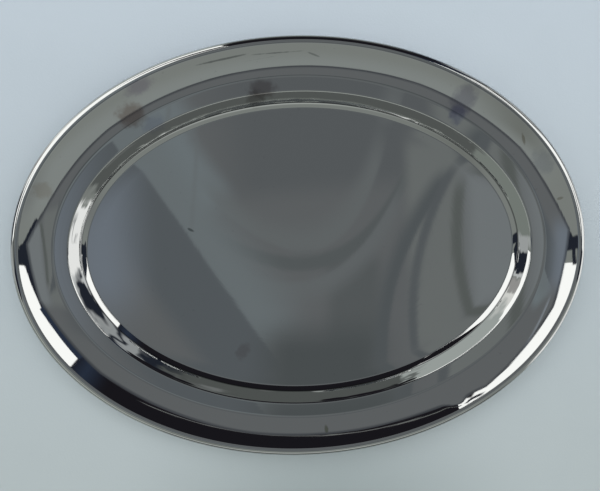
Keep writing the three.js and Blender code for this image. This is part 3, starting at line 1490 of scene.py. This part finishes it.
@dataclass
class Studio:
    """The soft studio: its surroundings, its lamps, the table and the camera.

    Attributes:
        rim_top: Height of the tray's rim.
        backdrop: What the camera sees past the table.
        table_rings: Radii of the table top's rings, the last one its edge.
        table_thickness: The table top's thickness.
        table_sides: Points round the table top.
        lamp_power: Power of the strongest lamp, in watts.
        lamp_colour: The lamps' colour.
        lamps: The lamps.
        camera_place: The camera's place over the middle of the rim.
        camera_aim: The point that it looks at, from the same middle.
        camera_roll: How far it is turned about its own axis.
        camera_lens: Its focal length in millimetres.
        camera_sensor: Its sensor's width in millimetres.
        camera_clip: The nearest distance that it shows.
        fold_scale: How many folds the low surroundings have, for each unit of direction.
        fold_strength: How far the folds shift them.
        fold_heights: Where the folds start and end to fade out, as rises of the direction.
        edge_line: Where the dark line along the ceiling's edge starts and is full.
        edge_line_share: How dark that line is.
        edge_soft: Where the ceiling starts and ends to give way to the walls.
        least_rise: The lowest rise for which a place on the ceiling is worked out.
        edges: The edges of the dark ceiling.
        panels: The bright and dark parts of the walls.
        trims: The narrow shapes where the walls meet the ceiling.
        bars: The soft shapes on the ceiling.
    """

    rim_top: float
    backdrop: Colour = (0.52, 0.58, 0.63)
    table_rings: tuple[float, ...] = (0.2, 0.6, 2.5)
    table_thickness: float = 0.03
    table_sides: int = 96
    lamp_power: float = 9.5
    lamp_colour: Colour = (0.95, 0.98, 1.0)
    lamps: tuple[Lamp, ...] = (
        Lamp("lamp_far", (0.0, 1.2, 1.6), 1.6, 1.0),
        Lamp("lamp_over", (0.3, -0.2, 2.0), 2.4, 0.9),
    )
    camera_place: Colour = (-0.0166, 0.0270, 0.280)
    camera_aim: Colour = (-0.0027, 0.00345, 0.0)
    camera_roll: float = math.radians(1.08)
    camera_lens: float = 32.6
    camera_sensor: float = 36.0
    camera_clip: float = 0.01
    fold_scale: float = 6.0
    fold_strength: float = 0.32
    fold_heights: tuple[float, float] = (0.30, 0.42)
    edge_line: tuple[float, float] = (-0.026, -0.006)
    edge_line_share: float = 0.6
    edge_soft: tuple[float, float] = (-0.004, 0.003)
    least_rise: float = 0.05
    edges: tuple[CeilingEdge, ...] = (
        CeilingEdge(169.7, 0.335),
        CeilingEdge(143.5, 0.358),
        CeilingEdge(90.0, 0.428),
        CeilingEdge(58.0, 0.412),
        CeilingEdge(38.0, 0.400),
        CeilingEdge(12.0, 0.441),
        CeilingEdge(-41.5, 0.474),
        CeilingEdge(-62.0, 0.534),
        CeilingEdge(-90.0, 0.568),
        CeilingEdge(-122.0, 0.474),
        CeilingEdge(-142.9, 0.398),
    )
    panels: tuple[Panel, ...] = (
        Panel((0.335, 0.362, 0.352), 285.0, 42.0, 0.0, 33.0, side_soft=30.0, bottom_soft=6.0),
        Panel((0.235, 0.250, 0.233), 252.0, 8.0, 28.0, 50.0, side_soft=18.0, top_soft=5.0),
        Panel((0.250, 0.265, 0.260), 322.0, 8.0, 30.0, 50.0, side_soft=18.0, top_soft=6.0),
        Panel(BLACK, 73.8, 29.6, 0.0, 95.0, side_soft=0.6),
        Panel(NAVY, 49.0, 3.0, 0.0, 60.0, side_soft=9.0),
        Panel(WHITE, 18.5, 25.8, 0.0, 66.0, side_soft=0.6),
        Panel(WHITE, 142.0, 38.7, 0.0, 66.0, side_soft=0.6),
        Panel(BLACK, 35.0, 9.0, 46.0, 70.0, side_soft=6.0, top_soft=4.0),
        Panel(BLACK, 35.0, 9.0, 29.5, 34.5, side_soft=5.0, bottom_soft=2.0),
        Panel(BLACK, 109.0, 8.0, 27.5, 34.0, side_soft=5.0, bottom_soft=2.0),
        Panel(DARK, 348.5, 4.0, 0.0, 60.0),
        Panel(DARK, 194.5, 4.5, 0.0, 60.0, side_soft=2.0),
        Panel((0.66, 0.69, 0.66), 248.0, 60.0, 53.0, 64.0, side_soft=14.0, top_soft=4.0),
        Panel((0.27, 0.30, 0.275), 218.0, 28.0, 62.0, 95.0, side_soft=6.0),
        Panel((0.13, 0.14, 0.135), 280.0, 35.0, 64.0, 95.0, side_soft=6.0),
        Panel((0.17, 0.18, 0.175), 300.0, 14.0, 60.0, 72.0, side_soft=12.0, top_soft=6.0),
        Panel((1.25, 1.25, 1.23), 345.0, 23.0, 58.0, 95.0, side_soft=5.0),
        Panel((0.50, 0.51, 0.51), 336.0, 7.0, 66.0, 74.0, side_soft=6.0, top_soft=6.0),
        Panel((0.80, 0.82, 0.82), 23.0, 16.0, 60.0, 95.0, side_soft=6.0),
        Panel(DARK, 23.0, 14.0, 68.0, 82.0, side_soft=10.0, top_soft=6.0, bottom_soft=4.0),
        Panel((0.42, 0.44, 0.45), 48.0, 9.0, 66.0, 95.0, side_soft=6.0),
        Panel(DARK, 46.0, 1.5, 66.0, 95.0, side_soft=3.0),
        Panel(DARK, 61.0, 5.0, 66.0, 95.0, side_soft=5.0),
        Panel((0.12, 0.13, 0.125), 84.0, 19.0, 66.0, 86.0, side_soft=6.0, top_soft=4.0),
        Panel((0.40, 0.42, 0.41), 82.0, 14.0, 86.0, 99.0, side_soft=6.0, top_soft=3.0),
        Panel((0.22, 0.23, 0.23), 72.0, 5.0, 68.0, 75.0, side_soft=6.0, top_soft=4.0),
        Panel((0.50, 0.54, 0.52), 121.0, 19.0, 62.0, 99.0, side_soft=3.0),
        Panel((1.0, 1.0, 0.96), 145.0, 6.5, 62.0, 99.0, side_soft=8.0),
        Panel((0.45, 0.44, 0.43), 155.0, 4.0, 62.0, 99.0, side_soft=6.0),
        Panel(DARK, 172.0, 9.0, 62.0, 99.0, side_soft=6.0),
        Panel((0.70, 0.72, 0.72), 163.0, 2.0, 62.0, 99.0, side_soft=2.0),
        Panel((0.5, 0.52, 0.52), 186.0, 6.0, 62.0, 99.0, side_soft=4.0),
    )
    trims: tuple[Bar, ...] = (
        Bar(DARK, (0.512, -0.165), (0.398, 0.124), 0.026, 0.004, 0.004, end_soft=0.01),
        Bar(NAVY, (0.418, 0.124), (0.295, 0.294), 0.020, 0.005, 0.005, end_soft=0.004),
        Bar(DARK, (-0.400, -0.090), (-0.360, -0.150), 0.012, 0.006, 0.006, end_soft=0.008),
        Bar(DARK, (-0.409, 0.000), (-0.395, -0.100), 0.011, 0.004, 0.004, end_soft=0.012),
        Bar(DARK, (0.530, -0.120), (0.405, -0.262), 0.014, 0.006, 0.006, end_soft=0.01),
        Bar(DARK, (-0.070, 0.454), (-0.126, 0.457), 0.006, 0.004, 0.004, end_soft=0.012),
        Bar(BLACK, (-0.163, 0.747), (-0.619, 0.845), 0.130, 0.012, 0.012, end_soft=0.02),
        Bar(DARK, (0.723, -0.180), (1.058, 0.118), 0.120, 0.012, 0.012, end_soft=0.02),
        Bar(DARK, (-0.744, -0.117), (-1.036, 0.270), 0.120, 0.012, 0.012, end_soft=0.02),
        Bar((0.30, 0.31, 0.30), (0.180, 0.398), (-0.095, 0.460), 0.0012, 0.003, 0.003, -0.009, 0.02, 0.8),
    )
    bars: tuple[Bar, ...] = (
        Bar((0.146, 0.158, 0.167), (-0.02, 0.09), (0.22, 0.11), 0.05, 0.06, 0.06, end_soft=0.12),
        Bar((0.235, 0.275, 0.296), (-0.20, 0.11), (-0.13, 0.01), 0.02, 0.05, 0.05, end_soft=0.06),
        Bar((0.140, 0.153, 0.158), (0.15, -0.13), (0.15, -0.28), 0.03, 0.04, 0.04),
        Bar((0.188, 0.204, 0.210), (-0.080, -0.02), (0.190, 0.045), 0.004, 0.06, 0.01, -0.100),
        Bar((0.140, 0.155, 0.160), (-0.104, -0.065), (0.241, 0.022), 0.007, 0.012, 0.012, -0.095),
        Bar((0.186, 0.202, 0.210), (-0.137, -0.070), (0.218, -0.022), 0.003, 0.008, 0.05, -0.113),
        Bar((0.213, 0.243, 0.257), (-0.228, 0.069), (-0.030, -0.230), 0.012, 0.10, 0.004, end_soft=0.09),
        Bar((0.137, 0.154, 0.168), (-0.268, 0.027), (-0.038, -0.324), 0.045, 0.004, 0.05, end_soft=0.05),
        Bar((0.108, 0.121, 0.126), (0.03, -0.31), (0.15, -0.31), 0.02, 0.09, 0.10, end_soft=0.10),
        Bar((0.228, 0.262, 0.308), (-0.325, 0.04), (-0.325, -0.13), 0.012, 0.110, 0.06, end_soft=0.13),
        Bar((0.214, 0.230, 0.229), (0.300, 0.08), (0.310, -0.26), 0.035, 0.03, 0.03),
        Bar((0.250, 0.272, 0.284), (0.405, 0.09), (0.425, -0.22), 0.028, 0.04, 0.05),
        Bar((0.126, 0.141, 0.150), (0.314, 0.021), (0.205, -0.294), 0.004, 0.005, 0.03, -0.026),
        Bar((0.136, 0.150, 0.160), (0.325, 0.032), (0.263, -0.273), 0.004, 0.010, 0.008, -0.023),
        Bar((0.144, 0.158, 0.153), (0.348, -0.002), (0.373, -0.224), 0.004, 0.010, 0.014, -0.012),
        Bar(
            (0.198, 0.220, 0.230), (-0.133, 0.104), (-0.147, -0.047),
            0.0015, 0.004, 0.004, 0.0, 0.02, 0.6,
        ),
        Bar((0.36, 0.40, 0.45), (-0.196, 0.352), (-0.256, 0.175), 0.002, 0.014, 0.004, 0.0, 0.06, 0.7),
    )

    def build(self, effects: Effects) -> None:
        """Build everything round the tray.

        Args:
            effects: The shared node groups.
        """
        self._surroundings(effects)
        self._table(effects)
        self._lamps()
        self._camera()
        bpy.context.scene.view_settings.view_transform = "Standard"
        bpy.context.scene.view_settings.look = "None"

    def _surroundings(self, effects: Effects) -> None:
        """Build the world that the steel mirrors.

        Args:
            effects: The shared node groups.
        """
        world = bpy.data.worlds.new("studio")
        world.use_nodes = True
        world.node_tree.nodes.clear()
        wires = Wiring(world.node_tree)
        direction = wires.add("ShaderNodeTexCoord").outputs["Generated"]
        spot = self._ceiling_spot(wires, direction)
        ceiling = self._painted(wires, effects, spot, CEILING, self.bars)
        walls = rgba(PALE_WALL)
        bent = self._bent_direction(wires, direction)
        for panel in self.panels:
            heading = math.radians(panel.heading)
            mask = wires.place(
                effects.panel,
                Direction=bent,
                Heading=(math.cos(heading), math.sin(heading), 0.0),
                Half_width=math.radians(panel.half_width),
                Side_softness=math.radians(panel.side_soft),
                Top=math.radians(panel.top),
                Top_softness=math.radians(panel.top_soft),
                Bottom=math.radians(panel.bottom),
                Bottom_softness=math.radians(panel.bottom_soft),
            )
            walls = wires.blend(mask, walls, panel.light)
        walls = self._painted(wires, effects, spot, walls, self.trims)
        beyond = self._beyond_ceiling(wires, spot)
        line = wires.smooth(beyond, *self.edge_line, 0.0, self.edge_line_share)
        ceiling = wires.blend(line, ceiling, DARK)
        light = wires.blend(wires.smooth(beyond, *self.edge_soft), ceiling, walls)
        seen = wires.add("ShaderNodeLightPath").outputs["Is Camera Ray"]
        light = wires.blend(seen, light, self.backdrop)
        background = wires.add("ShaderNodeBackground")
        wires.feed(background.inputs["Color"], light)
        output = wires.add("ShaderNodeOutputWorld")
        wires.feed(output.inputs["Surface"], background.outputs[0])
        bpy.context.scene.world = world

    @staticmethod
    def _painted(
        wires: Wiring, effects: Effects, spot: Socket, light: Any, bars: Sequence[Bar]
    ) -> Socket:
        """Paint soft bars over a light.

        Args:
            wires: The world's wiring.
            effects: The shared node groups.
            spot: The place on the ceiling.
            light: The light underneath.
            bars: The bars.

        Returns:
            The light with the bars on it.
        """
        for bar in bars:
            start = Vector((*bar.start, 0.0))
            end = Vector((*bar.end, 0.0))
            mask = wires.place(
                effects.bar,
                Spot=spot,
                Middle=tuple((start + end) / 2),
                Along=tuple((end - start).normalized()),
                Half_length=(end - start).length / 2,
                Half_width=bar.half_width,
                Bow=bar.bow,
                Left_softness=bar.left_soft,
                Right_softness=bar.right_soft,
                End_softness=bar.end_soft,
            )
            light = wires.blend(wires.math("MULTIPLY", mask, bar.share), light, bar.light)
        return light

    def _bent_direction(self, wires: Wiring, direction: Socket) -> Socket:
        """Bend the directions low down, where the panels' edges hang unevenly.

        Args:
            wires: The world's wiring.
            direction: The true direction.

        Returns:
            The bent direction's socket.
        """
        folds = wires.add("ShaderNodeTexNoise", noise_dimensions="3D")
        wires.feed(folds.inputs["Vector"], direction)
        folds.inputs["Scale"].default_value = self.fold_scale
        folds.inputs["Detail"].default_value = 1.0
        low = wires.smooth(wires.split(direction)["Z"], *self.fold_heights, 1.0, 0.0)
        shift = wires.vector("SUBTRACT", folds.outputs["Color"], (0.5, 0.5, 0.5)).outputs[0]
        scaled = wires.vector("SCALE", shift)
        wires.feed(scaled.inputs["Scale"], wires.math("MULTIPLY", low, self.fold_strength))
        added = wires.vector("ADD", direction, scaled.outputs[0]).outputs[0]
        return wires.vector("NORMALIZE", added).outputs[0]

    def _beyond_ceiling(self, wires: Wiring, spot: Socket) -> Socket:
        """Work out how far a place lies outside the ceiling's edges.

        Args:
            wires: The world's wiring.
            spot: The place, in slopes from straight up.

        Returns:
            The distance's socket, negative inside.
        """
        beyond = None
        for edge in self.edges:
            heading = math.radians(edge.heading)
            facing = (math.cos(heading), math.sin(heading), 0.0)
            reach = wires.vector("DOT_PRODUCT", spot, facing).outputs["Value"]
            past = wires.math("SUBTRACT", reach, edge.distance)
            beyond = past if beyond is None else wires.math("MAXIMUM", beyond, past)
        return beyond

    def _ceiling_spot(self, wires: Wiring, direction: Socket) -> Socket:
        """Work out where a direction meets the ceiling, one unit overhead.

        Args:
            wires: The world's wiring.
            direction: The direction's socket.

        Returns:
            The level place's socket.
        """
        parts = wires.split(direction)
        rise = wires.math("MAXIMUM", parts["Z"], self.least_rise)
        spot = wires.add("ShaderNodeCombineXYZ")
        for axis in ("X", "Y"):
            wires.feed(spot.inputs[axis], wires.math("DIVIDE", parts[axis], rise))
        return spot.outputs[0]

    def _table(self, effects: Effects) -> None:
        """Build the table top as a thin round slab.

        Args:
            effects: The shared node groups.
        """
        rings = [(radius, 0.0) for radius in self.table_rings]
        rings.append((self.table_rings[-1], -self.table_thickness))
        turns = [2 * math.pi * side / self.table_sides for side in range(self.table_sides)]
        vertices = [
            Vector((radius * math.cos(turn), radius * math.sin(turn), up))
            for radius, up in rings
            for turn in turns
        ]
        faces = grid_faces(len(rings), self.table_sides)
        faces.append(tuple(range(self.table_sides)))
        table = new_piece("table_top", vertices, faces)
        table.data.materials.append(TableCloth().build(effects))

    def _lamps(self) -> None:
        """Hang the soft lamps that light the table but don't show in the steel."""
        for item in self.lamps:
            data = bpy.data.lights.new(item.name, "AREA")
            data.shape = "DISK"
            data.size = item.size
            data.energy = self.lamp_power * item.share
            data.color = self.lamp_colour
            lamp = bpy.data.objects.new(item.name, data)
            lamp.location = item.place
            lamp.rotation_euler = (-Vector(item.place)).to_track_quat("-Z", "Y").to_euler()
            lamp.visible_glossy = False
            lamp.visible_camera = False
            bpy.context.scene.collection.objects.link(lamp)

    def _camera(self) -> None:
        """Place the camera above the tray."""
        data = bpy.data.cameras.new("camera")
        data.sensor_width = self.camera_sensor
        data.lens = self.camera_lens
        data.clip_start = self.camera_clip
        camera = bpy.data.objects.new("camera", data)
        place = Vector(self.camera_place) + Vector((0, 0, self.rim_top))
        aim = Vector(self.camera_aim) + Vector((0, 0, self.rim_top))
        back = (place - aim).normalized()
        rolled = Vector((math.sin(self.camera_roll), math.cos(self.camera_roll), 0.0))
        right = rolled.cross(back).normalized()
        upward = back.cross(right)
        axes = Matrix((right, upward, back)).transposed().to_4x4()
        camera.matrix_world = Matrix.Translation(place) @ axes
        bpy.context.scene.collection.objects.link(camera)
        bpy.context.scene.camera = camera


# ---------------------------------------------------------------------------
# Putting it together
# ---------------------------------------------------------------------------


def declare(piece: bpy.types.Object, node: Node) -> None:
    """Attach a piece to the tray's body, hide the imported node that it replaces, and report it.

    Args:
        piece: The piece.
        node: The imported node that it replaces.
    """
    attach(piece, BODY)
    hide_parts(node.value)
    LOG.info("%s: %d points, %d faces", piece.name, len(piece.data.vertices), len(piece.data.polygons))


def main() -> None:
    """Build the tray and the studio."""
    logging.basicConfig(level=logging.INFO, format="%(name)s: %(message)s")
    effects = Effects()
    low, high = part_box(Node.PRESSING.value)
    sheet = TraySheet(low, high)
    LOG.info("section height %.2f mm, packed %.2f mm", sheet.height / MM, high.z / MM)
    declare(sheet.build(PolishedSteel(), SatinSteel(), effects), Node.PRESSING)
    declare(WireRing(sheet).build(DrawnWireSteel(), effects), Node.WIRE)
    Studio(high.z).build(effects)


if __name__ == "__main__":
    main()
